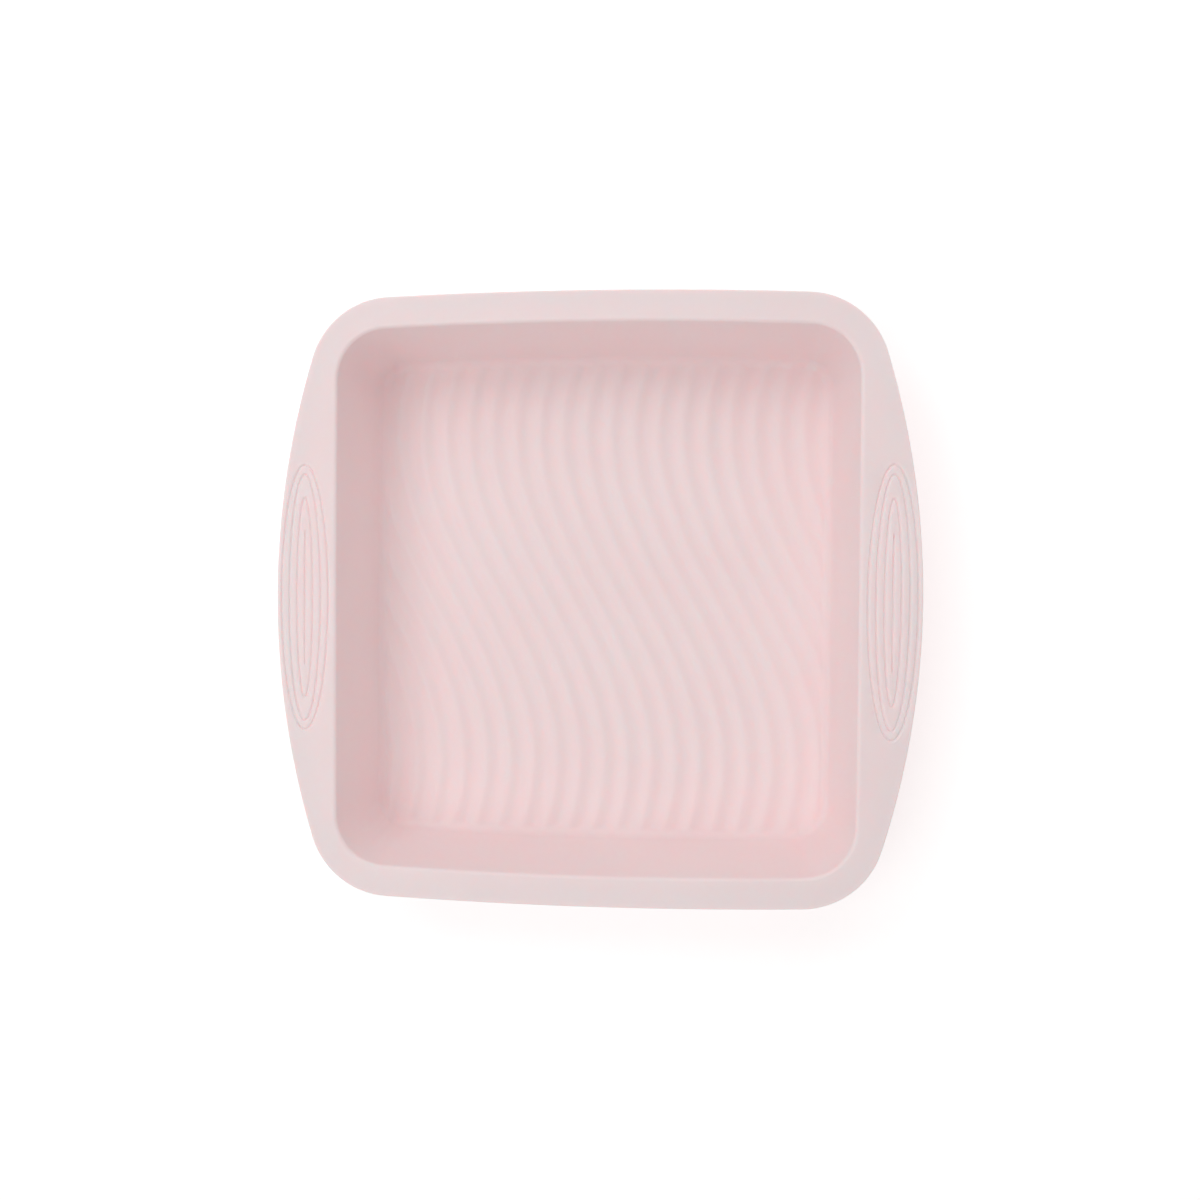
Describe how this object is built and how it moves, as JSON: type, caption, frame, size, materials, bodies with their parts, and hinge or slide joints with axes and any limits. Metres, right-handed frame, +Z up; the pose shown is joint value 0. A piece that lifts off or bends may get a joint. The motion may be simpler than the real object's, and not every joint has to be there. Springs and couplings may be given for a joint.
{
  "type": "silicone slab mould",
  "caption": "Shallow square silicone mould with sloping walls, a waved ribbed floor and a flat rim that widens into handles on opposite sides.",
  "frame": {"origin": "on the surface that the mould stands on, under the middle of its floor", "axes": "+X from one handle to the other, +Y along the plain rims, +Z up out of the open cavity"},
  "size_m": [0.2694, 0.2566, 0.048],
  "materials": {
    "silicone": "matte, soft pale pink silicone",
    "steel_wire": "drawn stainless wire"
  },
  "bodies": {
    "root": {"mould_body": "silicone", "rim_wire_ring": "steel_wire"}
  },
  "joints": []
}
